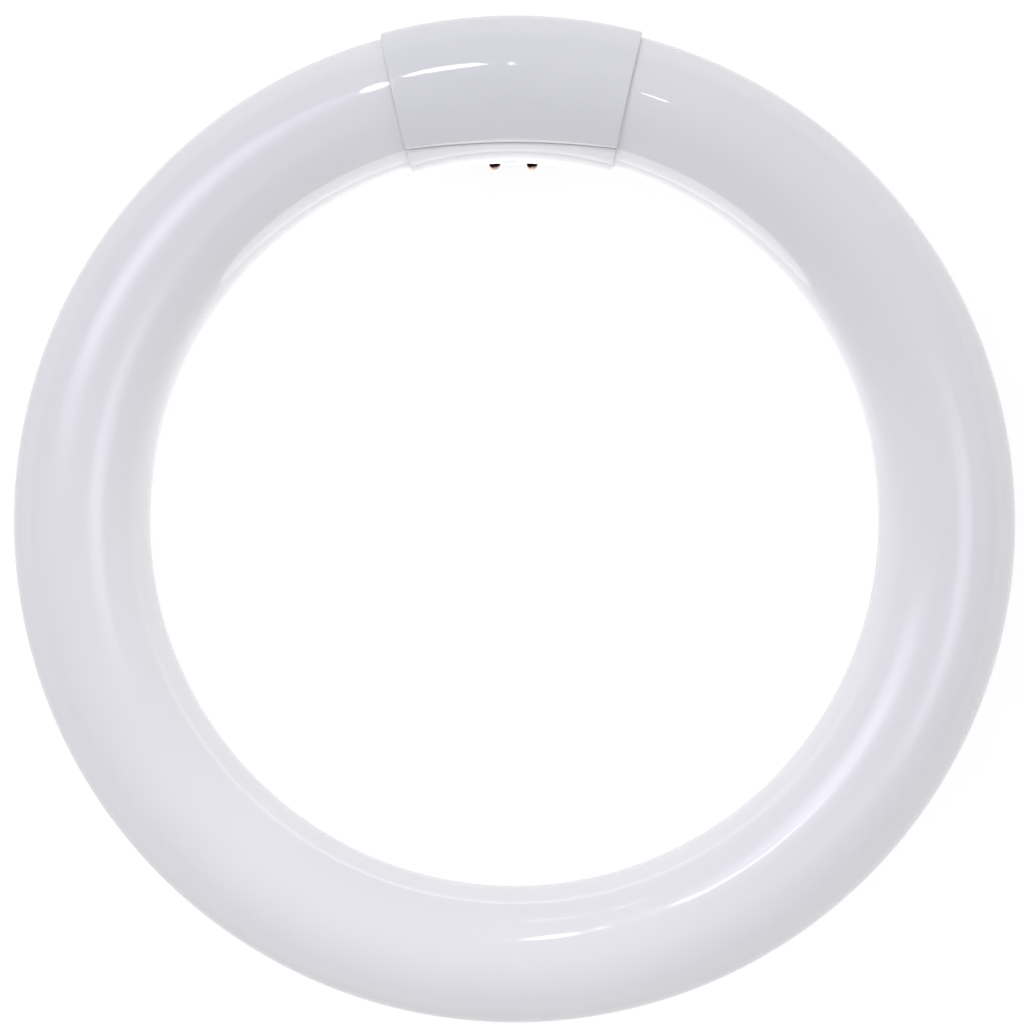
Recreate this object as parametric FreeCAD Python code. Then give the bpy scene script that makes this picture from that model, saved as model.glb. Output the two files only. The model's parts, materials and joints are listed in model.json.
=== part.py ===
import FreeCAD, Part
import math
import os

from FreeCAD import Placement, Rotation, Vector

# A circular fluorescent lamp. All lengths are in millimetres and all angles in degrees.
# The ring lies flat around the Z axis and its base is at +Y. The pins point down and inwards.

# Glass ring
ring_diameter = 209.6        # outside of the glass, edge to edge
tube_diameter = 28.6
glass_gap = 24.0             # from one glass end to the other, along the tube's centre line
glass_end_rounding = 3.0
stem_mouth_diameter = 15.0   # the sealed stem is a hollow flare that opens out of each end
stem_floor_diameter = 10.0
stem_depth = 9.0
stem_mouth_rounding = 0.8
exhaust_tip_diameter = 4.0
exhaust_tip_length = 5.0

# Base, a sleeve of two shells around the gap in the glass
base_length = 49.6           # at the tube's centre line
base_end_angle = 12.5        # each end's lean from the YZ plane
sleeve_wall = 1.0
sleeve_clearance = 0.1       # between sleeve and glass
sleeve_end_rounding = 0.4
pin_angle = 45.0             # from straight down, turned towards the middle of the ring
seam_depth = 1.7             # the parting plane's distance from the tube's centre, on the pins' side
platform_recess = 2.4        # from the sleeve's outside in to the flat that carries the pins
platform_thickness = 1.6
recess_end_wall = 1.2
stop_clearance = 0.3         # between a glass end and what stops it
stop_rib_height = 2.2
stop_rib_thickness = 1.2
post_diameter = 4.0
post_pitch = 21.0            # across the base, between the two posts
spigot_diameter = 2.0
spigot_length = 3.0
spigot_clearance = 0.05
spigot_end_room = 0.3
boss_diameter = 4.4
boss_height = 2.0

# Contact pins
pin_diameter = 2.35
pin_length = 6.4             # from the platform to the tip
pin_pitch = 7.92             # along the tube
pin_row_pitch = 6.35         # across the tube
pin_bore_diameter = 1.7
pin_crimp_length = 3.0       # the narrow end of the bore, closed on the wire
shank_step = 0.25            # how much the shank stands proud of the pin, each side
shank_clearance = 0.02
flange_diameter = 4.0
flange_thickness = 0.5

# Lead wires, from the stems to the pins
wire_diameter = 0.6
wire_clearance = 0.05        # in the crimp
wire_end_margin = 1.0        # from a pin's tip to the end of its wire
stem_wire_pitch = 5.6        # across the base, between the two wires of one stem
wire_mouth_reach = 1.5       # how far a wire comes straight out of the glass
wire_drop_height = 4.0       # how far above its pin a wire turns down
bend_share = 0.45            # of the shorter run that a bend may take up

# How an edge to be rounded is found
edge_tolerance = 0.01        # how far it may lie from where it is looked for
edge_samples = 5             # points along it that are looked at

# Sizes that follow from those above
tube_radius = tube_diameter / 2
ring_radius = ring_diameter / 2 - tube_radius
sleeve_inner_radius = tube_radius + sleeve_clearance
sleeve_outer_radius = sleeve_inner_radius + sleeve_wall
sleeve_middle_radius = sleeve_inner_radius + sleeve_wall / 2
gap_half_angle = math.degrees(glass_gap / 2 / ring_radius)
recess_half_length = (
    (ring_radius - tube_radius) * math.sin(math.radians(gap_half_angle)) - stop_clearance - recess_end_wall
)
platform_depth = sleeve_outer_radius - platform_recess
platform_inner_depth = platform_depth - platform_thickness
boss_end_depth = platform_inner_depth - boss_height
flange_end_depth = boss_end_depth - flange_thickness
tip_depth = platform_depth + pin_length
wire_end_depth = tip_depth - wire_end_margin
pin_radius = pin_diameter / 2
shank_radius = pin_radius + shank_step

# The lamp stands on its lowest point: the lower pins' tips, or the sleeve where the pins are short
pin_drop = (
    math.cos(math.radians(pin_angle)) * (tip_depth - pin_radius)
    + math.sin(math.radians(pin_angle)) * pin_row_pitch / 2
    + pin_radius
)
ring_height = max(pin_drop, sleeve_outer_radius)

# The base's own axes start at the tube's centre: X along the tube, Y across it, Z out along the pins
base_placement = Placement(Vector(0, ring_radius, ring_height), Rotation(Vector(1, 0, 0), 180 - pin_angle))
beyond = 2 * sleeve_outer_radius    # past the base's sides, from the tube's centre
past_ends = base_length             # past the base's ends, from its middle


def in_base(shape):
    placed = shape.copy()
    placed.Placement = base_placement * shape.Placement
    return placed


def base_point(along, across, depth):
    return base_placement.multVec(Vector(along, across, depth))


def base_box(half_length, depth_from, depth_to):
    corner = Vector(-half_length, -beyond, depth_from)
    return in_base(Part.makeBox(2 * half_length, 2 * beyond, depth_to - depth_from, corner))


def base_cylinder(radius, along, across, depth_from, depth_to):
    start = Vector(along, across, depth_from)
    return in_base(Part.makeCylinder(radius, depth_to - depth_from, start))


# Angles around the ring are counted from the base's middle, towards +X
def ring_point(angle):
    turn = math.radians(angle)
    return Vector(ring_radius * math.sin(turn), ring_radius * math.cos(turn), ring_height)


def ring_direction(angle):
    turn = math.radians(angle)
    return Vector(math.cos(turn), -math.sin(turn), 0)


def ring_sector(radius, angle_from, angle_to, hollow_radius=0):
    centre = ring_point(angle_from)
    along = ring_direction(angle_from)
    section = Part.Face(Part.Wire(Part.makeCircle(radius, centre, along)))
    if hollow_radius:
        section = section.cut(Part.Face(Part.Wire(Part.makeCircle(hollow_radius, centre, along))))
    return section.revolve(Vector(0, 0, 0), Vector(0, 0, 1), angle_from - angle_to)


def circle_edges(shape, radius):
    circles = [edge for edge in shape.Edges if isinstance(edge.Curve, Part.Circle)]
    return [edge for edge in circles if abs(edge.Curve.Radius - radius) < edge_tolerance]


def fuse_all(first, others):
    return first.multiFuse(others).removeSplitter()


def glass_end_centre(side):
    return ring_point(side * gap_half_angle)


def out_of_glass(side):
    return ring_direction(side * gap_half_angle) * -side


def stem_floor_centre(side):
    return glass_end_centre(side) - out_of_glass(side) * stem_depth


def make_exhaust_tip(side):
    radius = exhaust_tip_diameter / 2
    foot = stem_floor_centre(side)
    out = out_of_glass(side)
    straight = exhaust_tip_length - radius
    stalk = Part.makeCylinder(radius, straight, foot, out)
    return stalk.fuse(Part.makeSphere(radius, foot + out * straight))


def make_glass_ring():
    glass = ring_sector(tube_radius, gap_half_angle, 360 - gap_half_angle)
    glass = glass.makeFillet(glass_end_rounding, circle_edges(glass, tube_radius))
    mouth_radius = stem_mouth_diameter / 2
    for side in (-1, 1):
        hollow = Part.makeCone(
            stem_floor_diameter / 2, mouth_radius, stem_depth, stem_floor_centre(side), out_of_glass(side)
        )
        glass = glass.cut(hollow)
    glass = glass.makeFillet(stem_mouth_rounding, circle_edges(glass, mouth_radius))
    return fuse_all(glass, [make_exhaust_tip(-1)])


def make_end_block():
    lean = math.tan(math.radians(base_end_angle)) * beyond
    low = base_length / 2 - lean
    high = base_length / 2 + lean
    inner = ring_radius - beyond
    outer = ring_radius + beyond
    floor = ring_height - beyond
    corners = [(-low, inner), (low, inner), (high, outer), (-high, outer), (-low, inner)]
    outline = Part.makePolygon([Vector(x, y, floor) for x, y in corners])
    return Part.Face(outline).extrude(Vector(0, 0, 2 * beyond))


def is_outer_end_edge(edge):
    # An end edge of the sleeve lies in one leaning end plane, all of it on the sleeve's outside
    lean = math.tan(math.radians(base_end_angle))
    for sample in range(edge_samples):
        way_along = (edge.LastParameter - edge.FirstParameter) * sample / edge_samples
        point = edge.valueAt(edge.FirstParameter + way_along)
        off_plane = abs(point.x) - base_length / 2 - (point.y - ring_radius) * lean
        from_centre = math.hypot(math.hypot(point.x, point.y) - ring_radius, point.z - ring_height)
        off_sleeve = from_centre - sleeve_outer_radius
        if max(abs(off_plane), abs(off_sleeve)) > edge_tolerance:
            return False
    return True


def round_ends(shell):
    return shell.makeFillet(sleeve_end_rounding, [edge for edge in shell.Edges if is_outer_end_edge(edge)])


def make_sleeve():
    reach = math.degrees(base_length / ring_radius)
    plug = ring_sector(sleeve_outer_radius, -reach, reach).common(make_end_block())
    return plug, plug.cut(ring_sector(sleeve_inner_radius, -reach, reach))


def make_stop_ribs():
    near = gap_half_angle - math.degrees(stop_clearance / ring_radius)
    far = near - math.degrees(stop_rib_thickness / ring_radius)
    inner_radius = sleeve_inner_radius - stop_rib_height
    return [
        ring_sector(sleeve_middle_radius, far, near, inner_radius),
        ring_sector(sleeve_middle_radius, -near, -far, inner_radius),
    ]


def post_cylinders(radius, depth_from, depth_to):
    return [base_cylinder(radius, 0, side * post_pitch / 2, depth_from, depth_to) for side in (-1, 1)]


def make_posts(depth_from, depth_to):
    space = ring_sector(sleeve_middle_radius, -gap_half_angle, gap_half_angle)
    return [post.common(space) for post in post_cylinders(post_diameter / 2, depth_from, depth_to)]


def make_outer_shell(sleeve):
    outer_side = base_box(past_ends, -beyond, seam_depth)
    ribs = [rib.common(outer_side) for rib in make_stop_ribs()]
    posts = make_posts(-beyond, seam_depth)
    spigots = post_cylinders(spigot_diameter / 2, seam_depth - spigot_length, seam_depth + spigot_length)
    return round_ends(fuse_all(sleeve.common(outer_side), ribs + posts + spigots))


def pin_places():
    return [(along * pin_pitch / 2, across * pin_row_pitch / 2) for across in (1, -1) for along in (-1, 1)]


def pin_cylinders(radius, depth_from, depth_to):
    return [base_cylinder(radius, along, across, depth_from, depth_to) for along, across in pin_places()]


def make_pin_shell(plug, sleeve):
    pin_side = base_box(past_ends, seam_depth, beyond)
    platform = plug.common(base_box(recess_half_length + recess_end_wall, platform_inner_depth, beyond))
    shell = fuse_all(sleeve.common(pin_side), [platform] + make_posts(seam_depth, beyond))
    shell = shell.cut(base_box(recess_half_length, platform_depth, beyond))
    bosses = pin_cylinders(boss_diameter / 2, boss_end_depth, platform_depth - platform_thickness / 2)
    holes = pin_cylinders(shank_radius + shank_clearance, flange_end_depth, tip_depth)
    sockets = post_cylinders(
        spigot_diameter / 2 + spigot_clearance, 0, seam_depth + spigot_length + spigot_end_room
    )
    return round_ends(fuse_all(shell, bosses).cut(holes + sockets))


def make_pin(along, across):
    flange_radius = flange_diameter / 2
    bore_radius = pin_bore_diameter / 2
    crimp_radius = wire_diameter / 2 + wire_clearance
    crimp_depth = tip_depth - pin_crimp_length
    dome_depth = tip_depth - pin_radius
    slant = math.sqrt(0.5) * pin_radius
    before_dome = [
        (bore_radius, flange_end_depth),
        (flange_radius, flange_end_depth),
        (flange_radius, boss_end_depth),
        (shank_radius, boss_end_depth),
        (shank_radius, platform_depth),
        (pin_radius, platform_depth),
        (pin_radius, dome_depth),
    ]
    after_dome = [
        (0, tip_depth),
        (0, wire_end_depth),
        (crimp_radius, wire_end_depth),
        (crimp_radius, crimp_depth),
        (bore_radius, crimp_depth),
        (bore_radius, flange_end_depth),
    ]
    before_dome = [Vector(radius, 0, depth) for radius, depth in before_dome]
    after_dome = [Vector(radius, 0, depth) for radius, depth in after_dome]
    dome = Part.Arc(before_dome[-1], Vector(slant, 0, dome_depth + slant), after_dome[0]).toShape()
    outline = Part.Wire(
        Part.makePolygon(before_dome).Edges + [dome] + Part.makePolygon(after_dome).Edges
    )
    pin = Part.Face(outline).revolve(Vector(0, 0, 0), Vector(0, 0, 1), 360)
    pin.translate(Vector(along, across, 0))
    return in_base(pin)


def rounded_path(points):
    # Straight runs joined by tangent arcs, each as large as its two runs allow
    edges = []
    radii = []
    start = points[0]
    for before, corner, after in zip(points, points[1:], points[2:]):
        back = before - corner
        ahead = after - corner
        cut = bend_share * min(back.Length, ahead.Length)
        back.normalize()
        ahead.normalize()
        half_turn = (math.pi - back.getAngle(ahead)) / 2
        radius = cut / math.tan(half_turn)
        arc_start = corner + back * cut
        arc_end = corner + ahead * cut
        middle_way = (back + ahead).normalize()
        arc_middle = corner + middle_way * (radius / math.cos(half_turn) - radius)
        edges.append(Part.LineSegment(start, arc_start).toShape())
        edges.append(Part.Arc(arc_start, arc_middle, arc_end).toShape())
        radii.append(radius)
        start = arc_end
    edges.append(Part.LineSegment(start, points[-1]).toShape())
    return Part.Wire(edges), radii


def make_lead_wire(along, across):
    side = math.copysign(1, along)
    out = out_of_glass(side)
    base_across = base_placement.Rotation.multVec(Vector(0, 1, 0))
    floor_across = (base_across - out * base_across.dot(out)).normalize()
    foot = stem_floor_centre(side) + floor_across * math.copysign(stem_wire_pitch / 2, across)
    route = [
        foot,
        foot + out * (stem_depth + wire_mouth_reach),
        base_point(along, across, flange_end_depth - wire_drop_height),
        base_point(along, across, wire_end_depth),
    ]
    path, radii = rounded_path(route)
    section = Part.Wire(Part.makeCircle(wire_diameter / 2, foot, out))
    wire = path.makePipeShell([section], True, True)
    expected = math.pi * (wire_diameter / 2) ** 2 * path.Length
    print(
        f"lead wire: {path.Length:.1f} mm long, bend radii {', '.join(f'{r:.1f}' for r in radii)} mm,"
        f" volume {wire.Volume / expected:.4f} of section times length"
    )
    return wire


def make_nodes():
    plug, sleeve = make_sleeve()
    nodes = {
        "glass_ring": make_glass_ring(),
        "base_outer_shell": make_outer_shell(sleeve),
        "base_pin_shell": make_pin_shell(plug, sleeve),
    }
    for number, (along, across) in enumerate(pin_places(), start=1):
        nodes[f"contact_pin_{number}"] = make_pin(along, across)
        nodes[f"lead_wire_{number}"] = make_lead_wire(along, across)
    return nodes


def export(nodes):
    os.makedirs("parts", exist_ok=True)
    for name, shape in nodes.items():
        solid = shape.Solids[0] if len(shape.Solids) == 1 else shape
        box = solid.optimalBoundingBox(False, False)
        print(
            f"{name}: {len(shape.Solids)} solid, valid {solid.isValid()}, {solid.Volume:.1f} mm3,"
            f" {box.XLength:.1f} x {box.YLength:.1f} x {box.ZLength:.1f} mm, lowest {box.ZMin:.2f}"
        )
        solid.exportStep(f"parts/{name}.step")


export(make_nodes())
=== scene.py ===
import json
import math

import bmesh
import bpy
from mathutils import Matrix, Vector

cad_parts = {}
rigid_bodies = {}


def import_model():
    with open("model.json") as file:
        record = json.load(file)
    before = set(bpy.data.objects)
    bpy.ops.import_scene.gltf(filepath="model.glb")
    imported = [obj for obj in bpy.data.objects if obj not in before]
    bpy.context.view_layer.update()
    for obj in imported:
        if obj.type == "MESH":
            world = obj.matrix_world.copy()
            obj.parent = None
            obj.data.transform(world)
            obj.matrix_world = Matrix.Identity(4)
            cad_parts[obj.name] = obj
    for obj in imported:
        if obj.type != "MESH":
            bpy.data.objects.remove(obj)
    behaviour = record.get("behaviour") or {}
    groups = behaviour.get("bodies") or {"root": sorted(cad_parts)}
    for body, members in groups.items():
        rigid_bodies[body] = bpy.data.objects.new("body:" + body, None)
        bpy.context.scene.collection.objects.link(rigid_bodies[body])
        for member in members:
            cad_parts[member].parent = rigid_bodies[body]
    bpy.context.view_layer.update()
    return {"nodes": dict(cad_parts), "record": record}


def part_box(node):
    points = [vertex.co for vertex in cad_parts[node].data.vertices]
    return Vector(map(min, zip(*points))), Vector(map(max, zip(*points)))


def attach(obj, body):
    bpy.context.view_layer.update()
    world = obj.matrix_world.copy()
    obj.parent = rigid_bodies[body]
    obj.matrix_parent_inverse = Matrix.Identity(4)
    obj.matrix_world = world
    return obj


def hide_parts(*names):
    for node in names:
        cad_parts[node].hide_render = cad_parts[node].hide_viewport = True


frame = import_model()
scene = bpy.context.scene

# The tube's sizes and the base's own axes come from the frame. All lengths are in metres.
glassLow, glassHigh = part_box("glass_ring")
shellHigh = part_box("base_outer_shell")[1]
tubeRadius = (glassHigh.z - glassLow.z) / 2
ringRadius = glassHigh.x - tubeRadius
ringHeight = (glassHigh.z + glassLow.z) / 2
sleeveRadius = shellHigh.y - ringRadius
pinMounts = {m["name"]: m for m in frame["record"]["mounts"] if m["kind"] == "pin"}
firstPin = pinMounts["contact_pin_1"]
tubeMiddle = Vector((0, ringRadius, ringHeight))   # the tube's centre line, halfway along the base
alongBase = Vector((1, 0, 0))
outOfBase = Vector(firstPin["axis"]).normalized()  # the way the pins point
acrossBase = outOfBase.cross(alongBase)
pinFlatDepth = (Vector(firstPin["pos_m"]) - tubeMiddle).dot(outOfBase)


def basePoint(along, across, depth):
    return tubeMiddle + alongBase * along + acrossBase * across + outOfBase * depth


def roundedOutline(corners, steps):
    # corners are (x, y, rounding); a rounding is the radius of the arc that takes the corner off
    outline = []
    for number, (x, y, rounding) in enumerate(corners):
        corner = Vector((x, y))
        if rounding == 0 or number in (0, len(corners) - 1):
            outline.append(corner)
            continue
        back = (Vector(corners[number - 1][:2]) - corner).normalized()
        ahead = (Vector(corners[number + 1][:2]) - corner).normalized()
        halfOpening = back.angle(ahead) / 2
        cut = rounding / math.tan(halfOpening)
        middle = corner + (back + ahead).normalized() * (rounding / math.sin(halfOpening))
        fromMiddle = corner + back * cut - middle
        toMiddle = corner + ahead * cut - middle
        for step in range(steps + 1):
            outline.append(middle + fromMiddle.slerp(toMiddle, step / steps).normalized() * rounding)
    return outline


# Node tree helpers

def addNode(tree, kind, inputs=None, **settings):
    node = tree.nodes.new(kind)
    for name, value in settings.items():
        setattr(node, name, value)
    for name, value in (inputs or {}).items():
        if isinstance(value, bpy.types.NodeSocket):
            tree.links.new(value, node.inputs[name])
        else:
            node.inputs[name].default_value = value
    return node


def addMath(tree, operation, first, second=0.0, third=0.0):
    return addNode(tree, "ShaderNodeMath", {0: first, 1: second, 2: third}, operation=operation).outputs[0]


def addVectorMath(tree, operation, inputs):
    return addNode(tree, "ShaderNodeVectorMath", inputs, operation=operation).outputs


def newGeometryTree(name, inputs):
    tree = bpy.data.node_groups.new(name, "GeometryNodeTree")
    tree.interface.new_socket("Geometry", in_out="INPUT", socket_type="NodeSocketGeometry")
    for label, kind in inputs:
        tree.interface.new_socket(label, in_out="INPUT", socket_type="NodeSocket" + kind)
    tree.interface.new_socket("Geometry", in_out="OUTPUT", socket_type="NodeSocketGeometry")
    return tree, addNode(tree, "NodeGroupInput").outputs


def finishTree(tree, geometry, material):
    smooth = addNode(tree, "GeometryNodeSetShadeSmooth", {"Geometry": geometry})
    realized = addNode(tree, "GeometryNodeRealizeInstances", {"Geometry": smooth.outputs[0]})
    painted = addNode(tree, "GeometryNodeSetMaterial",
                      {"Geometry": realized.outputs[0], "Material": material})
    addNode(tree, "NodeGroupOutput", {"Geometry": painted.outputs[0]})


def meshFromTree(name, outline, tree, values):
    # runs the tree on a wire through the outline's points and keeps the result as a plain mesh
    wire = bpy.data.meshes.new(name + "Outline")
    points = [tuple(point) + (0.0,) * (3 - len(point)) for point in outline]
    wire.from_pydata(points, [(i, i + 1) for i in range(len(points) - 1)], [])
    maker = bpy.data.objects.new(name + "Maker", wire)
    scene.collection.objects.link(maker)
    modifier = maker.modifiers.new("Form", "NODES")
    modifier.node_group = tree
    for item in tree.interface.items_tree:
        if item.in_out == "INPUT" and item.name in values:
            modifier[item.identifier] = values[item.name]
    maker.update_tag()
    evaluated = maker.evaluated_get(bpy.context.evaluated_depsgraph_get())
    mesh = bpy.data.meshes.new_from_object(evaluated)
    mesh.name = name
    bpy.data.objects.remove(maker)
    bpy.data.meshes.remove(wire)
    return mesh


def newPiece(name, mesh):
    piece = bpy.data.objects.new(name, mesh)
    scene.collection.objects.link(piece)
    return piece


def meshFromForm(name, form):
    mesh = bpy.data.meshes.new(name)
    form.to_mesh(mesh)
    form.free()
    return mesh


def facesOutwards(mesh):
    form = bmesh.new()
    form.from_mesh(mesh)
    bmesh.ops.recalc_face_normals(form, faces=form.faces)
    form.to_mesh(mesh)
    form.free()


def finishPiece(piece, slot, *nodes):
    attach(piece, "root")
    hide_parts(*nodes)


# Materials

def newMaterial(name):
    material = bpy.data.materials.new(name)
    material.use_nodes = True
    tree = material.node_tree
    return material, tree, tree.nodes["Principled BSDF"]


def colourRamp(tree, factor, stops):
    ramp = addNode(tree, "ShaderNodeValToRGB", {"Fac": factor})
    for position, _ in stops[1:-1]:
        ramp.color_ramp.elements.new(position)
    for element, (position, colour) in zip(ramp.color_ramp.elements, stops):
        element.position = position
        element.color = (*colour, 1)
    return ramp.outputs["Color"]


def objectNoise(tree, place, scale, detail=2.0, roughness=0.5):
    inputs = {"Vector": place, "Scale": scale, "Detail": detail, "Roughness": roughness}
    return addNode(tree, "ShaderNodeTexNoise", inputs).outputs["Fac"]


def addBump(tree, height, distance):
    inputs = {"Height": height, "Strength": 1.0, "Distance": distance}
    return addNode(tree, "ShaderNodeBump", inputs).outputs[0]


def addRange(tree, factor, low, high):
    return addNode(tree, "ShaderNodeMapRange", {"Value": factor, "To Min": low, "To Max": high}).outputs[0]


coatedGlassLook = {
    "thinCoat": (0.786, 0.785, 0.785),     # where the white coating inside the glass is thinnest
    "thickCoat": (0.811, 0.810, 0.810),
    "cloudsPerMetre": 28.0,
    "grainsPerMetre": 2600.0,              # the coating's own powdery grain
    "grainShare": 0.25,
    "coatRoughness": 0.6,
    "coatSheen": 0.1,
    "glassIor": 1.5,
    "glassRoughness": 0.035,
    "wavesPerMetre": 34.0,                 # slow waves that bending leaves in the glass
    "waveHeight": 0.00035,
}


def makeCoatedGlass(look=coatedGlassLook):
    material, tree, shader = newMaterial("coatedGlass")
    place = addNode(tree, "ShaderNodeTexCoord").outputs["Object"]
    clouds = objectNoise(tree, place, look["cloudsPerMetre"], 3.0)
    grains = objectNoise(tree, place, look["grainsPerMetre"], 2.0, 0.6)
    mixed = addNode(tree, "ShaderNodeMix", {0: look["grainShare"], 2: clouds, 3: grains}, data_type="FLOAT")
    coat = colourRamp(tree, mixed.outputs[0], [(0.3, look["thinCoat"]), (0.7, look["thickCoat"])])
    waves = objectNoise(tree, place, look["wavesPerMetre"], 1.0)
    tree.links.new(coat, shader.inputs["Base Color"])
    tree.links.new(addBump(tree, waves, look["waveHeight"]), shader.inputs["Coat Normal"])
    shader.inputs["Roughness"].default_value = look["coatRoughness"]
    shader.inputs["Specular IOR Level"].default_value = look["coatSheen"]
    shader.inputs["Coat Weight"].default_value = 1.0
    shader.inputs["Coat IOR"].default_value = look["glassIor"]
    shader.inputs["Coat Roughness"].default_value = look["glassRoughness"]
    return material


basePlasticLook = {
    "colour": (0.745, 0.753, 0.752),
    "paleColour": (0.771, 0.779, 0.778),
    "flowPerMetre": 45.0,                  # faint flow marks of the moulding, longer along the base
    "flowStretch": (0.35, 1.0, 1.0),
    "skinPerMetre": 1900.0,                # fine texture of the mould's polished wall
    "skinHeight": 0.000003,
    "smoothest": 0.03,
    "roughest": 0.06,
    "ior": 1.52,
}


def makeBasePlastic(look=basePlasticLook):
    material, tree, shader = newMaterial("basePlastic")
    place = addNode(tree, "ShaderNodeTexCoord").outputs["Object"]
    stretched = addNode(tree, "ShaderNodeMapping", {"Vector": place, "Scale": look["flowStretch"]}).outputs[0]
    flow = objectNoise(tree, stretched, look["flowPerMetre"], 4.0, 0.6)
    colour = colourRamp(tree, flow, [(0.35, look["colour"]), (0.65, look["paleColour"])])
    skin = objectNoise(tree, place, look["skinPerMetre"], 2.0)
    roughness = addRange(tree, flow, look["smoothest"], look["roughest"])
    tree.links.new(colour, shader.inputs["Base Color"])
    tree.links.new(addBump(tree, skin, look["skinHeight"]), shader.inputs["Normal"])
    tree.links.new(roughness, shader.inputs["Roughness"])
    shader.inputs["IOR"].default_value = look["ior"]
    return material


pinBrassLook = {
    "shankBrass": (0.42, 0.30, 0.17),
    "tipBrass": (0.28, 0.225, 0.19),       # rubbed pale where it goes into the lampholder
    "dullBrass": (0.20, 0.135, 0.11),
    "paintedShade": (0.010, 0.007, 0.006),        # painted shade: a black, unlit band standing in for the shade that lies on the pin next to the base
    "paintedShadeFrom": 0.0036,                   # from the flat, like the two below
    "paintedShadeTo": 0.00475,
    "length": 0.0068,
    "paintedShadeEdge": 0.0003,
    "paintedShadeUneven": 0.0010,
    "unevenPerMetre": 900.0,
    "scratchesPerMetre": 9000.0,
    "smoothest": 0.14,
    "roughest": 0.30,
}


def makePinBrass(look=pinBrassLook):
    material, tree, shader = newMaterial("pinBrass")
    place = addNode(tree, "ShaderNodeTexCoord").outputs["Object"]
    flatPoint = basePoint(0, 0, pinFlatDepth)
    fromFlat = addVectorMath(tree, "SUBTRACT", {0: place, 1: tuple(flatPoint)})[0]
    reach = addVectorMath(tree, "DOT_PRODUCT", {0: fromFlat, 1: tuple(outOfBase)})["Value"]
    wander = addMath(tree, "SUBTRACT", objectNoise(tree, place, look["unevenPerMetre"], 3.0), 0.5)
    uneven = addMath(tree, "MULTIPLY", wander, look["paintedShadeUneven"])
    share = addMath(tree, "DIVIDE", addMath(tree, "ADD", reach, uneven), look["length"])
    start, end, edge = (look[key] / look["length"] for key in ("paintedShadeFrom", "paintedShadeTo", "paintedShadeEdge"))
    # the pin's colour along its axis, with a black band of painted shade across it
    colour = colourRamp(tree, share, [
        (start - edge, look["shankBrass"]), (start, look["paintedShade"]), (end, look["paintedShade"]),
        (end + edge, look["dullBrass"]), (end + 2 * edge, look["tipBrass"]),
    ])
    # no metal within the band of painted shade, so that it stays black
    metal = colourRamp(tree, share, [
        (start - edge, (1, 1, 1)), (start, (0, 0, 0)), (end, (0, 0, 0)), (end + edge, (1, 1, 1)),
    ])
    scratches = objectNoise(tree, place, look["scratchesPerMetre"], 2.0)
    roughness = addRange(tree, scratches, look["smoothest"], look["roughest"])
    tree.links.new(colour, shader.inputs["Base Color"])
    tree.links.new(metal, shader.inputs["Metallic"])
    tree.links.new(roughness, shader.inputs["Roughness"])
    shader.inputs["Specular IOR Level"].default_value = 0.0
    return material


leadWireLook = {
    "tin": (0.74, 0.73, 0.70),
    "dullTin": (0.50, 0.49, 0.47),
    "drawMarksPerMetre": 3000.0,
    "smoothest": 0.28,                     # where the tin is bright
    "roughest": 0.42,
}


def makeLeadWireMetal(look=leadWireLook):
    material, tree, shader = newMaterial("leadWireMetal")
    place = addNode(tree, "ShaderNodeTexCoord").outputs["Object"]
    marks = objectNoise(tree, place, look["drawMarksPerMetre"], 3.0)
    colour = colourRamp(tree, marks, [(0.3, look["dullTin"]), (0.7, look["tin"])])
    roughness = addRange(tree, marks, look["roughest"], look["smoothest"])
    tree.links.new(colour, shader.inputs["Base Color"])
    tree.links.new(roughness, shader.inputs["Roughness"])
    shader.inputs["Metallic"].default_value = 1.0
    return material


materials = {
    "coated_glass": makeCoatedGlass(),
    "base_plastic": makeBasePlastic(),
    "pin_brass": makePinBrass(),
    "lead_wire_metal": makeLeadWireMetal(),
}
print("materials made")


def addOutlineGrid(tree, given, around):
    # a grid with a row for each point of the outline; for each of its places that point and the turn round it
    outline = given["Geometry"]
    counted = addNode(tree, "GeometryNodeAttributeDomainSize", {"Geometry": outline}, component="MESH")
    rows, perRow = counted.outputs["Point Count"], addMath(tree, "ADD", around, 1.0)
    grid = addNode(tree, "GeometryNodeMeshGrid", {"Vertices X": rows, "Vertices Y": perRow}).outputs["Mesh"]
    index = addNode(tree, "GeometryNodeInputIndex").outputs[0]
    row = addMath(tree, "FLOOR", addMath(tree, "DIVIDE", addMath(tree, "ADD", index, 0.5), perRow))
    column = addMath(tree, "SUBTRACT", index, addMath(tree, "MULTIPLY", row, perRow))
    position = addNode(tree, "GeometryNodeInputPosition").outputs[0]
    sampled = addNode(tree, "GeometryNodeSampleIndex", {"Geometry": outline, "Value": position, "Index": row},
                      data_type="FLOAT_VECTOR").outputs[0]
    point = addNode(tree, "ShaderNodeSeparateXYZ", {0: sampled}).outputs
    turn = addMath(tree, "MULTIPLY", addMath(tree, "DIVIDE", column, around), math.tau)
    return grid, point, turn


def finishGrid(tree, grid, place, mergeWithin, material):
    placed = addNode(tree, "GeometryNodeSetPosition", {"Geometry": grid, "Position": place}).outputs[0]
    merged = addNode(tree, "GeometryNodeMergeByDistance", {"Geometry": placed, "Distance": mergeWithin})
    finishTree(tree, merged.outputs[0], material)


# Sweeping an outline along the bent tube: x of an outline point is how far it is round the ring, counted
# along the tube's centre line from the middle of the base, y is its distance from that line, and z takes it
# straight on from there, for what is straight although it starts on the bend.

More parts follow.
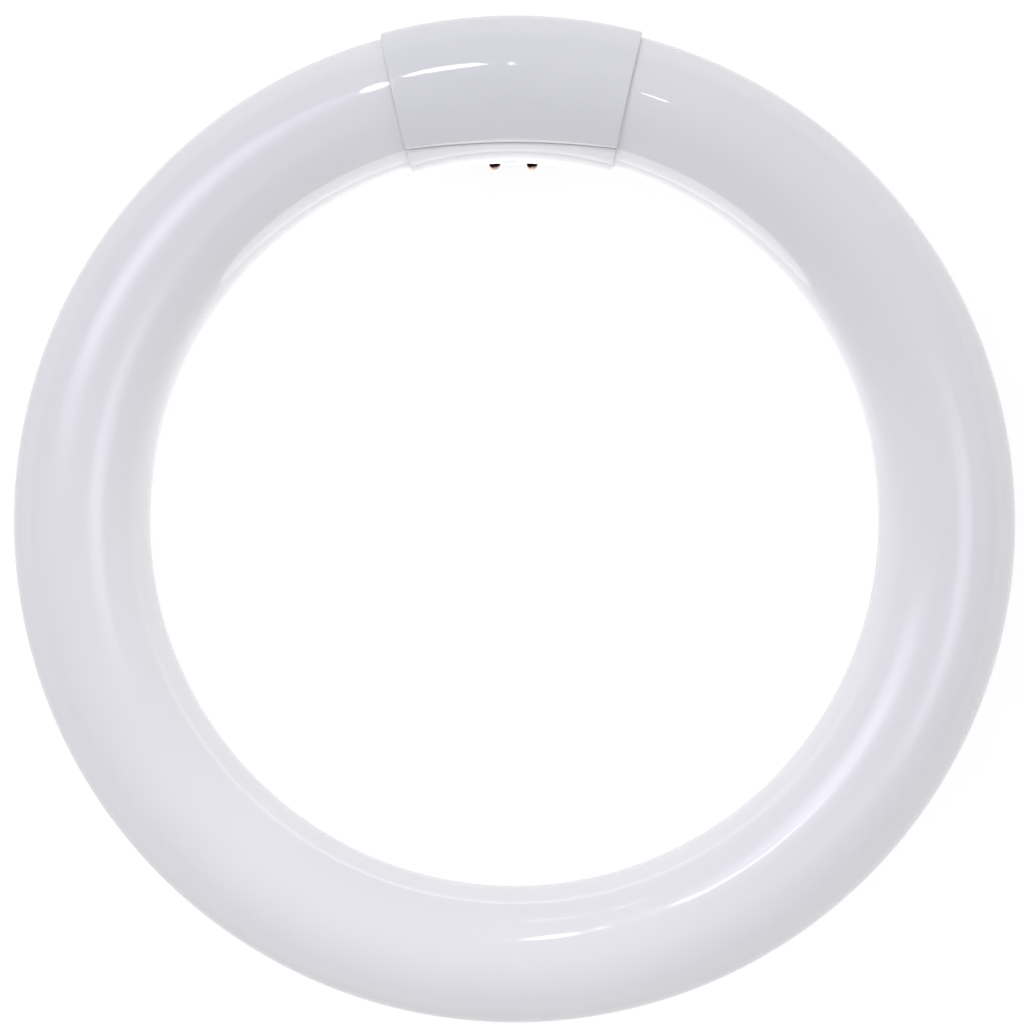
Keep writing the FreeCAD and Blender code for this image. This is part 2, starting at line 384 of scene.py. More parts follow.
def makeTubeSweepTree():
    tree, given = newGeometryTree("tubeSweep", [
        ("Ring Radius", "Float"), ("Ring Height", "Float"), ("Sections", "Int"), ("Material", "Material"),
    ])
    grid, (way, reach, straight), lean = addOutlineGrid(tree, given, given["Sections"])
    turn = addMath(tree, "DIVIDE", way, given["Ring Radius"])
    sine, cosine = addMath(tree, "SINE", turn), addMath(tree, "COSINE", turn)
    outwards = addMath(tree, "MULTIPLY", reach, addMath(tree, "COSINE", lean))
    upwards = addMath(tree, "MULTIPLY", reach, addMath(tree, "SINE", lean))
    out = addMath(tree, "ADD", given["Ring Radius"], outwards)
    alongX, alongY = (addMath(tree, "MULTIPLY", straight, share) for share in (cosine, sine))
    x = addMath(tree, "ADD", addMath(tree, "MULTIPLY", out, sine), alongX)
    y = addMath(tree, "SUBTRACT", addMath(tree, "MULTIPLY", out, cosine), alongY)
    z = addMath(tree, "ADD", given["Ring Height"], upwards)
    place = addNode(tree, "ShaderNodeCombineXYZ", {"X": x, "Y": y, "Z": z}).outputs[0]
    finishGrid(tree, grid, place, 1e-6, given["Material"])
    return tree


tubeSweep = makeTubeSweepTree()


def sweepAlongTube(name, outline, sections, slot):
    mesh = meshFromTree(name, outline, tubeSweep, {
        "Ring Radius": ringRadius, "Ring Height": ringHeight, "Sections": sections,
        "Material": materials[slot],
    })
    facesOutwards(mesh)
    return mesh


glassRing = {
    "endFromMiddle": 0.012,        # along the tube, from the base's middle to a glass end
    "endRounding": 0.003,
    "stemMouthRadius": 0.0075,     # the hollow stem sealed into each end
    "stemFloorRadius": 0.005,
    "stemDepth": 0.009,
    "mouthRounding": 0.0008,
    "floorRounding": 0.0012,
    "exhaustTipRadius": 0.002,     # the glass tip where the lamp was pumped out, inside one stem
    "exhaustTipLength": 0.005,
    "exhaustTipRounding": 0.00196,
    "exhaustRootRounding": 0.0006,
    "roundingSteps": 8,
    "rowsAround": 480,
    "sections": 112,
}


def glassEndOutline(size, withExhaustTip):
    # from the axis out to the tube's wall; x counts into the glass from its end plane, y from the tube's axis
    corners = [(size["stemDepth"], 0, 0)]
    if withExhaustTip:
        tipRadius, tipStart = size["exhaustTipRadius"], size["stemDepth"] - size["exhaustTipLength"]
        corners = [(tipStart, 0, 0), (tipStart, tipRadius, size["exhaustTipRounding"]),
                   (size["stemDepth"], tipRadius, size["exhaustRootRounding"])]
    corners += [
        (size["stemDepth"], size["stemFloorRadius"], size["floorRounding"]),
        (0, size["stemMouthRadius"], size["mouthRounding"]),
        (0, tubeRadius, size["endRounding"]),
        (size["endRounding"] * 2, tubeRadius, 0),
    ]
    return roundedOutline(corners, size["roundingSteps"])


def makeGlassRing(size=glassRing):
    endWay, wholeWay = size["endFromMiddle"], math.tau * ringRadius
    splitReach = (size["stemMouthRadius"] + tubeRadius) / 2   # an end is straight within this, bent beyond it
    outline = []
    for into, reach in glassEndOutline(size, False):
        outline.append((endWay, reach, into) if reach < splitReach else (endWay + into, reach, 0))
    first = outline[-1][0]
    last = wholeWay - first
    for row in range(1, size["rowsAround"]):
        outline.append((first + (last - first) * row / size["rowsAround"], tubeRadius, 0))
    backWay = wholeWay - endWay
    for into, reach in reversed(glassEndOutline(size, True)):
        outline.append((backWay, reach, -into) if reach < splitReach else (backWay - into, reach, 0))
    mesh = sweepAlongTube("glassRing", outline, size["sections"], "coated_glass")
    finishPiece(newPiece("glassRing", mesh), "coated_glass", "glass_ring")


makeGlassRing()
print("glass ring made")


def combined(mesh, operation, tools):
    # the mesh with the tools' meshes joined to it, cut out of it, or as what they have in common
    holder = newPiece("holder", mesh)
    helpers = [newPiece("tool", tool) for tool in tools]
    for helper in helpers:
        modifier = holder.modifiers.new("Combine", "BOOLEAN")
        modifier.operation = operation
        modifier.solver = "MANIFOLD"
        modifier.object = helper
    evaluated = holder.evaluated_get(bpy.context.evaluated_depsgraph_get())
    result = bpy.data.meshes.new_from_object(evaluated)
    for helper in [holder] + helpers:
        bpy.data.objects.remove(helper)
    return result


def baseCylinder(radius, along, across, depthFrom, depthTo, segments=48):
    axes = Matrix((alongBase, acrossBase, outOfBase)).transposed().to_4x4()
    place = Matrix.Translation(basePoint(along, across, (depthFrom + depthTo) / 2)) @ axes
    form = bmesh.new()
    bmesh.ops.create_cone(form, cap_ends=True, segments=segments, radius1=radius, radius2=radius,
                          depth=depthTo - depthFrom, matrix=place)
    return meshFromForm("cylinder", form)


def baseBlock(halfSize, depthFrom, depthTo):
    return baseCylinder(halfSize * math.sqrt(2), 0, 0, depthFrom, depthTo, 4)


# The base is a sleeve round the tube, parted by a plane square to the pins. A place on it is given by its
# turn round the ring, its lean round the tube, from straight outwards over the top, and its reach from the
# tube's centre line.

baseSleeve = {
    "length": 0.0496,              # at the tube's centre line
    "endLean": 12.5,               # degrees, of each end's plane
    "wall": 0.001,
    "endRounding": 0.0004,
    "seamDepth": 0.0017,           # from the tube's centre line to the parting plane
    "lipRounding": 0.0009,         # of the outer shell's edge along the seam
    "seamRounding": 0.00028,       # of the pin shell's edge there
    "roundingSteps": 5,
    "pocketHalfLength": 0.00858,   # the flat that carries the pins lies in a pocket
    "pocketEndWall": 0.0012,
    "pocketFillet": 0.00025,
    "rimRounding": 0.0003,
    "platformThickness": 0.0016,
    "edgeBlend": 0.0004,           # where the flat runs out into the sleeve
    "outerRows": 30,
    "outerColumns": 120,
    "platformRows": 10,
    "filletSteps": 4,
    "pinRows": 20,
    "pinColumns": 200,
    "settlingRounds": 5,           # a place's turn, lean and reach hang on each other
    "sharpFrom": 40,               # degrees
}
innerReach = sleeveRadius - baseSleeve["wall"]


def outFromAxis(lean, reach):
    return ringRadius + reach * math.cos(lean)


def turnAtX(x, lean, reach):
    return math.asin(x / outFromAxis(lean, reach))


def turnAtEnd(lean, reach, size=baseSleeve):
    tilt = math.radians(size["endLean"])
    offset = (size["length"] / 2 - ringRadius * math.tan(tilt)) * math.cos(tilt)
    return tilt + math.asin(offset / outFromAxis(lean, reach))


def reachAtDepth(turn, lean, depth):
    towards = outOfBase.y * math.cos(lean) * math.cos(turn) + outOfBase.z * math.sin(lean)
    if towards < 0.1:   # level with the plane or turned away from it
        return math.inf
    return (depth + outOfBase.y * ringRadius * (1 - math.cos(turn))) / towards


def seamLean(turn, reach, side, size=baseSleeve):
    a, b = outOfBase.y * math.cos(turn) * reach, outOfBase.z * reach
    depth = size["seamDepth"] + outOfBase.y * ringRadius * (1 - math.cos(turn))
    return math.atan2(b, a) % math.tau - side * math.acos(depth / math.hypot(a, b))


def tubePoint(turn, lean, reach):
    out = outFromAxis(lean, reach)
    return (out * math.sin(turn), out * math.cos(turn), ringHeight + reach * math.sin(lean))


def softMin(a, b, blend):
    if a == math.inf:
        return b
    near = max(blend - abs(a - b), 0) / blend
    return min(a, b) - near * near * blend / 4


def quarterSteps(radius, steps):
    # (offset from the edge, drop from the surface) along a rounding, from where it starts to the edge
    angles = [math.pi / 2 * step / steps for step in range(steps + 1)]
    return [(radius * (1 - math.sin(angle)), radius * (1 - math.cos(angle))) for angle in angles]


def seamColumns(surfaceColumns, edge, size=baseSleeve):
    # (which seam, share of the way between the seams, offset from the seam, drop)
    rounding = quarterSteps(edge, size["roundingSteps"])
    columns = [(1, 0, offset, drop) for offset, drop in reversed(rounding)]
    columns += [(0, step / surfaceColumns, 0, 0) for step in range(1, surfaceColumns)]
    return columns + [(-1, 1, offset, drop) for offset, drop in rounding]


def endRows(startX, innerStartX, rowCount, size=baseSleeve):
    # rows from startX to the end of the sleeve, then its rounding
    start = {"x": startX, "innerX": innerStartX}
    rows = [{**start, "share": step / rowCount, "offset": size["endRounding"], "drop": 0}
            for step in range(rowCount)]
    for offset, drop in quarterSteps(size["endRounding"], size["roundingSteps"]):
        rows.append({**start, "share": 1, "offset": offset, "drop": drop})
    return rows


def shellPoint(row, column, side, inner, wayRound, edge, size=baseSleeve):
    seam, share, seamOffset, seamDrop = column
    x = row["innerX"] if inner else row["x"]
    turn, reach = 0.0, innerReach if inner else sleeveRadius
    for _ in range(size["settlingRounds"]):
        first = seamLean(turn, reach, 1)
        last = seamLean(turn, reach, -1) - (math.tau if wayRound < 0 else 0)
        rounding = edge / reach * wayRound
        if seam == 1:
            lean = first + seamOffset / reach * wayRound
        elif seam == -1:
            lean = last - seamOffset / reach * wayRound
        else:
            lean = first + rounding + (last - first - 2 * rounding) * share
        if inner:
            reach = innerReach
            if row.get("platform"):
                reach = min(reach, reachAtDepth(turn, lean, pinFlatDepth - size["platformThickness"]))
        else:
            reach = sleeveRadius - seamDrop - row["drop"]
            if "pocket" in row:
                height = reach - softMin(reachAtDepth(turn, lean, pinFlatDepth), reach, size["edgeBlend"])
                rise, drop = row["pocket"]
                reach -= min(max(height - rise, 0), drop)
        start = turnAtX(x, lean, reach)
        stop = turnAtEnd(lean, reach) - row["offset"] / outFromAxis(lean, reach)
        turn = side * (start + (stop - start) * row["share"])
    return tubePoint(turn, lean, reach)


def shellMesh(name, halfRows, surfaceColumns, edge, wayRound):
    columns = seamColumns(surfaceColumns, edge)
    rows = [(row, -1) for row in reversed(halfRows[1:])] + [(row, 1) for row in halfRows]
    form = bmesh.new()
    loops = []
    for row, side in rows:
        outside = [shellPoint(row, column, side, False, wayRound, edge) for column in columns]
        inside = [shellPoint(row, column, side, True, wayRound, edge) for column in columns]
        loops.append([form.verts.new(point) for point in outside + inside[::-1]])
    count = len(loops[0])
    for here, there in zip(loops, loops[1:]):
        for i in range(count):
            form.faces.new((here[i - 1], here[i], there[i], there[i - 1]))
    for loop in (loops[0], loops[-1]):
        for i in range(len(columns) - 1):
            form.faces.new((loop[i], loop[i + 1], loop[count - 2 - i], loop[count - 1 - i]))
    bmesh.ops.recalc_face_normals(form, faces=form.faces)
    return meshFromForm(name, form)


def finishShell(mesh, name, node):
    mesh.name = name
    mesh.materials.clear()
    mesh.materials.append(materials["base_plastic"])
    mesh.shade_smooth()
    mesh.set_sharp_from_angle(angle=math.radians(baseSleeve["sharpFrom"]))
    finishPiece(newPiece(name, mesh), "base_plastic", node)


shellFixings = {
    "middleReach": innerReach + baseSleeve["wall"] / 2,
    "ribFrom": 0.0105,             # along the tube, from the base's middle
    "ribTo": 0.0117,
    "ribReach": innerReach - 0.0022,
    "postRadius": 0.002,
    "postAcross": 0.0105,
    "spigotRadius": 0.001,
    "spigotLength": 0.003,         # each side of the parting plane
    "socketClearance": 0.00005,
    "socketEndRoom": 0.0003,
    "bossRadius": 0.0022,
    "bossHeight": 0.002,
    "holeClearance": 0.00002,
    "seamRoom": 0.00002,           # the fixings stop just short of the parting plane
    "holeBeyond": 0.001,
    "beyond": 0.03,
    "sections": 96,
}


def postMeshes(radius, depthFrom, depthTo, size=shellFixings):
    return [baseCylinder(radius, 0, side * size["postAcross"], depthFrom, depthTo) for side in (-1, 1)]


def clippedPosts(depthFrom, depthTo, size=shellFixings):
    end = glassRing["endFromMiddle"]
    outline = [(-end, 0), (-end, size["middleReach"]), (end, size["middleReach"]), (end, 0)]
    posts = []
    for post in postMeshes(size["postRadius"], depthFrom, depthTo):
        space = sweepAlongTube("space", outline, size["sections"], "base_plastic")
        posts.append(combined(post, "INTERSECT", [space]))
    return posts


def stopRibs(size=shellFixings):
    ribs = []
    low, high = size["ribReach"], size["middleReach"]
    for side in (-1, 1):
        near, far = side * size["ribFrom"], side * size["ribTo"]
        outline = [(near, low), (far, low), (far, high), (near, high), (near, low)]
        rib = sweepAlongTube("rib", outline, size["sections"], "base_plastic")
        upperSide = baseBlock(size["beyond"], -size["beyond"], baseSleeve["seamDepth"] - size["seamRoom"])
        ribs.append(combined(rib, "INTERSECT", [upperSide]))
    return ribs


def makeOuterShell(size=shellFixings):
    sleeve, seam = baseSleeve, baseSleeve["seamDepth"]
    rows = endRows(0, 0, sleeve["outerRows"])
    mesh = shellMesh("outer", rows, sleeve["outerColumns"], sleeve["lipRounding"], -1)
    posts = clippedPosts(-size["beyond"], seam - size["seamRoom"])
    spigots = postMeshes(size["spigotRadius"], seam - size["spigotLength"], seam + size["spigotLength"])
    mesh = combined(mesh, "UNION", stopRibs() + posts + spigots)
    finishShell(mesh, "baseOuterShell", "base_outer_shell")


def pocketRows(size=baseSleeve):
    # rows from the middle of the flat up the pocket's end wall to its rim; "pocket" says how far above the
    # flat and how far below the sleeve's own surface a place may be
    wallX, fillet, rim = size["pocketHalfLength"], size["pocketFillet"], size["rimRounding"]
    whole, count = sleeveRadius, size["platformRows"]
    rows = [{"x": (wallX - fillet) * step / count, "pocket": (0, whole)} for step in range(count)]
    for offset, rise in quarterSteps(fillet, size["filletSteps"]):
        rows.append({"x": wallX - offset, "pocket": (rise, whole)})
    for offset, drop in reversed(quarterSteps(rim, size["filletSteps"])):
        rows.append({"x": wallX + offset, "pocket": (0, drop)})
    innerWallX = wallX + size["pocketEndWall"]
    for row in rows:
        past = max(row["x"] - wallX, 0) / rim
        row["innerX"] = row["x"] + past * (innerWallX - wallX - rim)
        row.update(share=0, offset=0, drop=0, platform=True)
    return rows, innerWallX


def pinPlaces():
    places = []
    for name, mount in sorted(pinMounts.items()):
        offset = Vector(mount["pos_m"]) - tubeMiddle
        places.append((name, offset.dot(alongBase), offset.dot(acrossBase)))
    return places


def pinCylinders(radius, depthFrom, depthTo):
    return [baseCylinder(radius, along, across, depthFrom, depthTo) for _, along, across in pinPlaces()]


def makePinShell(size=shellFixings):
    sleeve = baseSleeve
    rows, innerWallX = pocketRows()
    rows += endRows(rows[-1]["x"] + sleeve["rimRounding"], innerWallX, sleeve["pinRows"])
    mesh = shellMesh("pinSide", rows, sleeve["pinColumns"], sleeve["seamRounding"], 1)
    seam, thickness = sleeve["seamDepth"], sleeve["platformThickness"]
    bossEnd = pinFlatDepth - thickness - size["bossHeight"]
    bosses = pinCylinders(size["bossRadius"], bossEnd, pinFlatDepth - thickness / 2)
    posts = clippedPosts(seam + size["seamRoom"], size["beyond"])
    mesh = combined(mesh, "UNION", posts + bosses)
    holes = pinCylinders(contactPin["shankRadius"] + size["holeClearance"], bossEnd - size["holeBeyond"],
                         pinFlatDepth + size["holeBeyond"])
    sockets = postMeshes(size["spigotRadius"] + size["socketClearance"], 0,
                         seam + size["spigotLength"] + size["socketEndRoom"])
    mesh = combined(mesh, "DIFFERENCE", holes + sockets)
    finishShell(mesh, "basePinShell", "base_pin_shell")


contactPin = {
    "radius": firstPin["dims"]["r_mm"] / 1000,
    "wallLength": firstPin["dims"]["length_mm"] / 1000,
    "shankRadius": 0.001425,
    "flangeRadius": 0.002,
    "flangeDepth": -0.0041,        # from the flat, towards the inside of the base
    "flangeThickness": 0.0005,
    "boreRadius": 0.00085,
    "crimpRadius": 0.00035,
    "crimpFrom": 0.0034,
    "crimpTo": 0.0054,
    "dimpleRadius": 0.00042,       # the punch mark on the closed end
    "dimpleDepth": 0.00022,
    "dimpleShares": (0.92, 0.8, 0.6, 0.35, 0.0),
    "dentDepth": 0.00010,          # two dents where the pin is squeezed onto its wire
    "dentPlace": 0.0040,
    "dentLength": 0.0009,
    "dentFade": 4.0,
    "dentNarrowness": 6.0,
    "leastReach": 0.8,             # no dent goes deeper than this share of the radius
    "edge": 0.00006,
    "edgeSteps": 4,
    "domeSteps": 14,
    "segments": 64,
    "sharpFrom": 50,               # degrees
}


def makeTurnedTree(size=contactPin):
    # x of an outline point is its distance from the axis, y its place along it
    tree, given = newGeometryTree("turnedPart", [
        ("Start", "Vector"), ("Side", "Vector"), ("Across", "Vector"), ("Ahead", "Vector"),
        ("Segments", "Int"), ("Dent Depth", "Float"), ("Dent Place", "Float"), ("Dent Length", "Float"),
        ("Material", "Material"),
    ])
    grid, (reach, along, _), turn = addOutlineGrid(tree, given, given["Segments"])
    cosine, sine = addMath(tree, "COSINE", turn), addMath(tree, "SINE", turn)
    fromDent = addMath(tree, "SUBTRACT", along, given["Dent Place"])
    lengths = addMath(tree, "DIVIDE", fromDent, given["Dent Length"])
    fading = addMath(tree, "MULTIPLY", addMath(tree, "MULTIPLY", lengths, lengths), -size["dentFade"])
    roundways = addMath(tree, "POWER", addMath(tree, "ABSOLUTE", sine), size["dentNarrowness"])
    shape = addMath(tree, "MULTIPLY", addMath(tree, "EXPONENT", fading), roundways)
    dented = addMath(tree, "SUBTRACT", reach, addMath(tree, "MULTIPLY", shape, given["Dent Depth"]))
    kept = addMath(tree, "MAXIMUM", dented, addMath(tree, "MULTIPLY", reach, size["leastReach"]))
    sideways, crossways = (addMath(tree, "MULTIPLY", kept, share) for share in (cosine, sine))
    place = given["Start"]
    for direction, amount in (("Side", sideways), ("Across", crossways), ("Ahead", along)):
        part = addVectorMath(tree, "SCALE", {0: given[direction], "Scale": amount})[0]
        place = addVectorMath(tree, "ADD", {0: place, 1: part})[0]
    finishGrid(tree, grid, place, 1e-7, given["Material"])
    return tree


def pinOutline(size=contactPin):
    edge, bore, shank, flange = size["edge"], size["boreRadius"], size["shankRadius"], size["flangeRadius"]
    radius, wallEnd, flangeDepth = size["radius"], size["wallLength"], size["flangeDepth"]
    underFlange = flangeDepth + size["flangeThickness"]
    outside = roundedOutline([
        (bore, flangeDepth, 0), (flange, flangeDepth, edge), (flange, underFlange, edge),
        (shank, underFlange, 0), (shank, 0, edge), (radius, 0, 0), (radius, wallEnd, 0),
    ], size["edgeSteps"])
    domeEnd = math.acos(size["dimpleRadius"] / radius)
    angles = [domeEnd * step / size["domeSteps"] for step in range(1, size["domeSteps"] + 1)]
    dome = [(radius * math.cos(angle), wallEnd + radius * math.sin(angle)) for angle in angles]
    rimHeight = dome[-1][1]
    dimple = [(size["dimpleRadius"] * share, rimHeight - size["dimpleDepth"] * (1 - share ** 3))
              for share in size["dimpleShares"]]
    crimp, crimpFrom, crimpTo = size["crimpRadius"], size["crimpFrom"], size["crimpTo"]
    inside = [(0, crimpTo), (crimp, crimpTo), (crimp, crimpFrom), (bore, crimpFrom), (bore, flangeDepth)]
    return [tuple(point) for point in outside] + dome + dimple + inside


def makeContactPins(size=contactPin):
    tree = makeTurnedTree()
    values = {
        "Side": tuple(alongBase), "Across": tuple(acrossBase), "Ahead": tuple(outOfBase),
        "Segments": size["segments"], "Dent Depth": size["dentDepth"], "Dent Place": size["dentPlace"],
        "Dent Length": size["dentLength"], "Material": materials["pin_brass"],
    }
    for number, (node, along, across) in enumerate(pinPlaces(), start=1):
        name = f"contactPin{number}"
        values["Start"] = tuple(basePoint(along, across, pinFlatDepth))
        mesh = meshFromTree(name, pinOutline(), tree, values)
        facesOutwards(mesh)
        mesh.set_sharp_from_angle(angle=math.radians(size["sharpFrom"]))
        finishPiece(newPiece(name, mesh), "pin_brass", node)


makeOuterShell()
print("outer shell made")
makePinShell()
print("pin shell made")
makeContactPins()
print("contact pins made")


sceneStage = {
    "floorSize": 6.0,
    "floorColour": (0.86, 0.86, 0.87),
    "whiteShown": 0.84,            # the part of the floor's white that no shadow reaches
    "shadowShown": 0.23,           # and the part that one takes away
    "mirrored": 0.95,              # how bright the floor looks in the gloss
    "poolRadius": 0.085,           # a pool of light lies on it inside the ring
    "poolUpLight": 0.46,
    "patches": [                   # middle, half size and glow of what only the gloss shows of that light
        ((0, 0.045), (0.075, 0.035), 1.2),
        ((0, 0.060), (0.030, 0.018), 0.9),
    ],
    "crisp": 2.0,
}


def softShape(tree, place, middle, size, turn, crisp, strength):
    # a soft ellipse for crisp 1, and ever more of a rectangle above that
    within = addNode(tree, "ShaderNodeMapping", {
        "Vector": place, "Location": (*middle, 0), "Rotation": (0, 0, math.radians(turn)),
        "Scale": (*size, 1),
    }, vector_type="TEXTURE").outputs[0]
    squares = addVectorMath(tree, "MULTIPLY", {0: within, 1: within})[0]
    across, along, _ = addNode(tree, "ShaderNodeSeparateXYZ", {0: squares}).outputs
    powers = [addMath(tree, "POWER", squared, crisp) for squared in (across, along)]
    falling = addMath(tree, "MULTIPLY", addMath(tree, "ADD", *powers), -1.0)
    return addMath(tree, "MULTIPLY", addMath(tree, "EXPONENT", falling), strength)


def makeFloor(size=sceneStage):
    material, tree, shader = newMaterial("floorWhite")
    tree.nodes.remove(shader)
    lightPath = addNode(tree, "ShaderNodeLightPath").outputs
    shade = addNode(tree, "ShaderNodeBsdfDiffuse", {"Color": (size["shadowShown"],) * 3 + (1,)}).outputs[0]
    white = addNode(tree, "ShaderNodeEmission", {"Strength": size["whiteShown"]}).outputs[0]
    seen = addNode(tree, "ShaderNodeAddShader", {0: shade, 1: white}).outputs[0]
    place = addNode(tree, "ShaderNodeTexCoord").outputs["Object"]
    crisp = size["crisp"]
    pool = softShape(tree, place, (0, 0), (size["poolRadius"],) * 2, 0, crisp, size["poolUpLight"])
    patches = [softShape(tree, place, middle, half, 0, crisp, glow) for middle, half, glow in size["patches"]]
    mirroredGlow = addMath(tree, "ADD", addMath(tree, "ADD", *patches), size["mirrored"])
    mirrored = addNode(tree, "ShaderNodeEmission", {"Strength": mirroredGlow}).outputs[0]
    plain = addNode(tree, "ShaderNodeBsdfDiffuse", {"Color": (*size["floorColour"], 1)}).outputs[0]
    upLight = addNode(tree, "ShaderNodeEmission", {"Strength": pool}).outputs[0]
    lit = addNode(tree, "ShaderNodeAddShader", {0: plain, 1: upLight}).outputs[0]
    inGloss = addMath(tree, "MAXIMUM", lightPath["Is Glossy Ray"], lightPath["Is Transmission Ray"])
    unseen = addNode(tree, "ShaderNodeMixShader", {0: inGloss, 1: lit, 2: mirrored}).outputs[0]
    surface = addNode(tree, "ShaderNodeMixShader", {0: lightPath["Is Camera Ray"], 1: unseen, 2: seen})
    tree.links.new(surface.outputs[0], tree.nodes["Material Output"].inputs["Surface"])
    form = bmesh.new()
    bmesh.ops.create_grid(form, x_segments=1, y_segments=1, size=size["floorSize"] / 2)
    mesh = meshFromForm("floor", form)
    mesh.materials.append(material)
    newPiece("floor", mesh)


# The room is pale, with soft lights in its ceiling: towards is where one is seen from the ring, per metre of
# height, and size is its half width and half depth in the same measure.
roomLevel = 0.4
ceilingColour = (0.94, 0.90, 1.16)
ceilingLights = {
    "leftWindow": {"towards": (-0.77, 0.54), "size": (0.51, 0.39), "turn": -13, "glow": 1.9, "crisp": 3.0},
    "leftLamp": {"towards": (-0.66, 0.435), "size": (0.25, 0.23), "turn": 0, "glow": 2.3, "crisp": 1.0},
    "rightWindow": {"towards": (0.61, -0.12), "size": (0.265, 0.31), "turn": 25, "glow": 1.1, "crisp": 3.0},
    "rightLamp": {"towards": (0.47, -0.12), "size": (0.30, 0.17), "turn": 21, "glow": 1.7, "crisp": 1.0},
}


def addBackground(tree, colour, strength):
    return addNode(tree, "ShaderNodeBackground", {"Color": (*colour, 1), "Strength": strength}).outputs[0]


def makeSky():
    world = bpy.data.worlds.new("paleRoom")
    scene.world = world
    world.use_nodes = True
    tree = world.node_tree
    tree.nodes.remove(tree.nodes["Background"])
    direction = addNode(tree, "ShaderNodeTexCoord").outputs["Generated"]
    x, y, z = addNode(tree, "ShaderNodeSeparateXYZ", {0: direction}).outputs
    height = addMath(tree, "MAXIMUM", z, 0.001)
    acrossX, acrossY = (addMath(tree, "DIVIDE", part, height) for part in (x, y))
    onCeiling = addNode(tree, "ShaderNodeCombineXYZ", {"X": acrossX, "Y": acrossY}).outputs[0]
    glow = 0.0
    for light in ceilingLights.values():
        shape = softShape(tree, onCeiling, light["towards"], light["size"], light["turn"], light["crisp"],
                          light["glow"])
        glow = addMath(tree, "ADD", shape, glow)
    room = addBackground(tree, (1, 1, 1), roomLevel)
    lights = addBackground(tree, ceilingColour, glow)
    lit = addNode(tree, "ShaderNodeAddShader", {0: room, 1: lights}).outputs[0]
    white = addBackground(tree, (1, 1, 1), 1.0)
    cameraRay = addNode(tree, "ShaderNodeLightPath").outputs["Is Camera Ray"]
    seen = addNode(tree, "ShaderNodeMixShader", {0: cameraRay, 1: lit, 2: white}).outputs[0]
    tree.links.new(seen, tree.nodes["World Output"].inputs["Surface"])


# Lamps near the object, placed and aimed from the ring's middle. Those with watts are soft, shape the round
# of the tube and have no mirror image in the gloss. Those with a glow, in watts per steradian and square
# metre, are seen in the gloss alone.
ringMiddle = (0, 0, 0)
studioLamps = {
    "aboveFront": {"place": (0, -0.15, 0.30), "aim": ringMiddle, "size": (0.25, 0.25), "watts": 0.084},
    "lowBack": {"place": (0, 0.78, 0.17), "aim": ringMiddle, "size": (0.5, 0.5), "watts": 1.28},
    "lowRight": {"place": (0.78, 0, 0.17), "aim": ringMiddle, "size": (0.5, 0.5), "watts": 1.0},
    "lowLeft": {"place": (-0.78, 0, 0.17), "aim": ringMiddle, "size": (0.5, 0.5), "watts": 0.57},
    "ontoFront": {"place": (-0.12, 0.08, 0.40), "aim": (-0.05, -0.09, 0), "size": (0.12, 0.12),
                  "watts": 0.021, "spread": 60},
    "besideFront": {"place": (0, -0.22, 0.22), "aim": (0, -0.09, 0), "size": (0.15, 0.15),
                    "watts": 0.027, "spread": 110},
    "insideStrip": {"place": (0, 0.030, -0.002), "aim": (0, 0.080, -0.002), "size": (0.076, 0.030),
                    "glow": 2.1},
    "overBase": {"place": (-0.0345, 0.2053, 0.165), "aim": (-0.0132, 0.0939, 0.0148), "size": (0.039, 0.024),
                 "glow": 12.0, "spread": 60},
    "besideBase": {"place": (-0.0635, 0.192, 0.164), "aim": (-0.028, 0.089, 0.0138), "size": (0.015, 0.034),
                   "glow": 12.0, "spread": 60, "onlyOnto": "glassRing"},
    "spot": {"place": (-0.0041, 0.2042, 0.1648), "aim": (0.0003, 0.0947, 0.0148), "size": (0.0014, 0.018),
             "glow": 32.0, "spread": 60},
    "smallGlint": {"place": (0.0433, 0.1411, 0.1642), "aim": (0.0291, 0.0878, 0.0142), "size": (0.012, 0.009),
                   "glow": 11.0, "spread": 60, "onlyOnto": "glassRing"},
    "frontGlint": {"place": (-0.009, 0.007, 0.163), "aim": (0.008, -0.085, 0.0132), "size": (0.0045, 0.024),
                   "glow": 10.0, "spread": 60},
}


def wattsForGlow(lamp):
    watts = lamp["glow"] * math.pi * lamp["size"][0] * lamp["size"][1] * math.pi / 4
    if "spread" in lamp:   # a narrower spread packs the same watts into a brighter lamp
        halfSpread = math.radians(lamp["spread"] / 2)
        watts *= 1 - halfSpread / math.tan(halfSpread)
    return watts


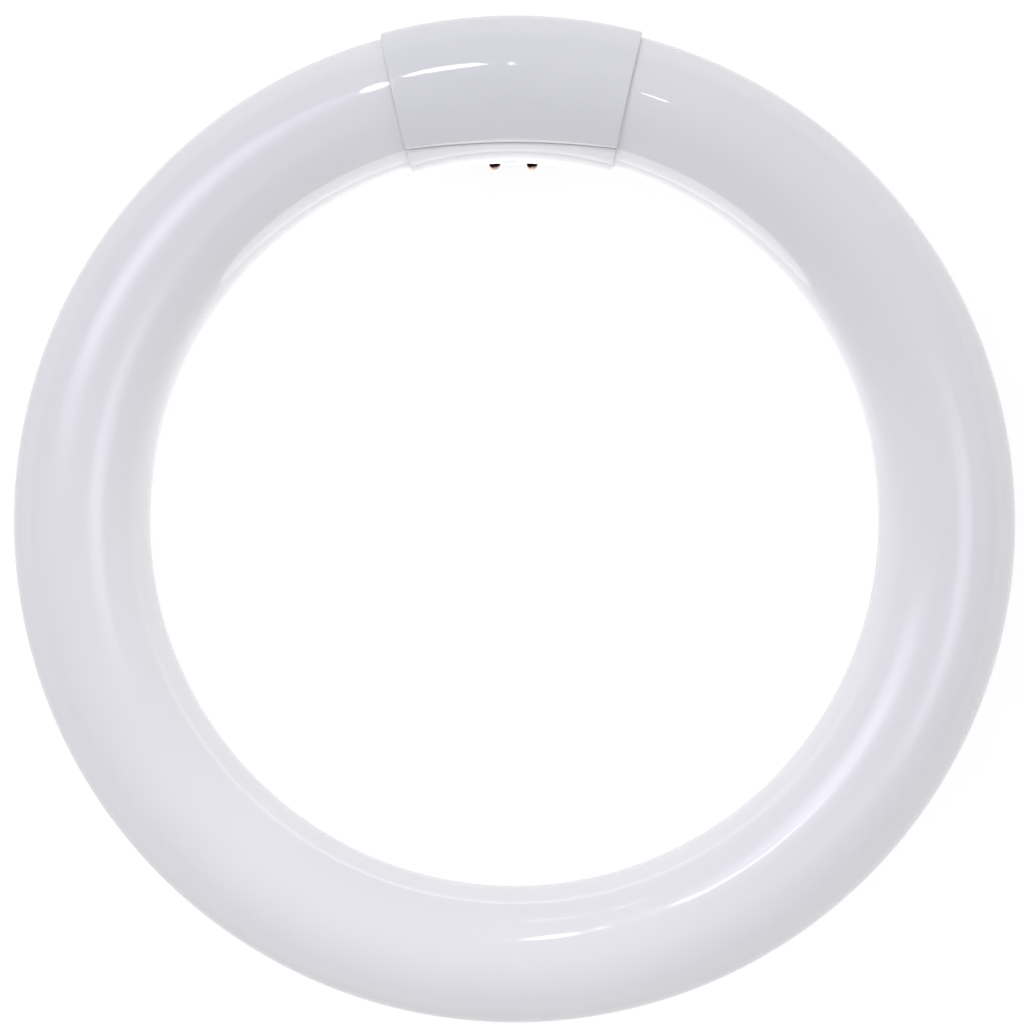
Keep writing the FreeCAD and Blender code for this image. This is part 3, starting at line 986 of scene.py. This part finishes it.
def makeStudioLamp(name, lamp):
    light = bpy.data.lights.new(name, "AREA")
    inGloss = "glow" in lamp
    light.shape = "ELLIPSE"
    light.size, light.size_y = lamp["size"]
    light.energy = wattsForGlow(lamp) if inGloss else lamp["watts"]
    light.spread = math.radians(lamp.get("spread", 180))
    holder = bpy.data.objects.new(name, light)
    scene.collection.objects.link(holder)
    place, aim = Vector(lamp["place"]), Vector(lamp["aim"])
    holder.location = place + Vector((0, 0, ringHeight))
    holder.rotation_euler = (place - aim).to_track_quat("Z", "Y").to_euler()
    holder.visible_camera = False
    holder.visible_transmission = False
    holder.visible_glossy = inGloss
    holder.visible_diffuse = not inGloss
    if "onlyOnto" in lamp:
        receivers = bpy.data.collections.new(name + "Receivers")
        receivers.objects.link(bpy.data.objects[lamp["onlyOnto"]])
        holder.light_linking.receiver_collection = receivers


cameraView = {
    "distance": 1.0,
    "tilt": -0.716,                # degrees, from straight above towards -Y
    "swing": 1.44,                 # degrees, towards +X
    "roll": 0.198,
    "focalPixels": 4776.9,
    "imagePixels": 1024.0,
    "centrePixels": (513.53, 522.2),   # where the ring's middle is seen
    "sensor": 36.0,
}


def makeCamera(view=cameraView):
    tilt, swing, roll = (math.radians(view[key]) for key in ("tilt", "swing", "roll"))
    upShare = math.sqrt(1 - math.sin(tilt) ** 2 - math.sin(swing) ** 2)
    away = Vector((math.sin(swing), -math.sin(tilt), upShare))
    right = (-away).cross(Vector((0, 1, 0))).normalized()
    up = right.cross(-away)
    rolledRight = right * math.cos(roll) - up * math.sin(roll)
    rolledUp = right * math.sin(roll) + up * math.cos(roll)
    place = Vector((0, 0, ringHeight)) + away * view["distance"]
    axes = Matrix((rolledRight, rolledUp, away)).transposed().to_4x4()
    camera = bpy.data.objects.new("camera", bpy.data.cameras.new("camera"))
    scene.collection.objects.link(camera)
    camera.matrix_world = Matrix.Translation(place) @ axes
    pixels = view["imagePixels"]
    camera.data.sensor_width = view["sensor"]
    camera.data.lens = view["focalPixels"] / pixels * view["sensor"]
    camera.data.shift_x = (pixels / 2 - view["centrePixels"][0]) / pixels
    camera.data.shift_y = (view["centrePixels"][1] - pixels / 2) / pixels
    camera.data.clip_start = 0.01
    scene.camera = camera


for node, item in frame["nodes"].items():
    slot = next(part["material_slot"] for part in frame["record"]["subparts"] if part["node"] == node)
    item.data.materials.clear()
    item.data.materials.append(materials[slot])

makeFloor()
makeSky()
for name, lamp in studioLamps.items():
    makeStudioLamp(name, lamp)
makeCamera()
scene.view_settings.view_transform = "Standard"
print("stage made")
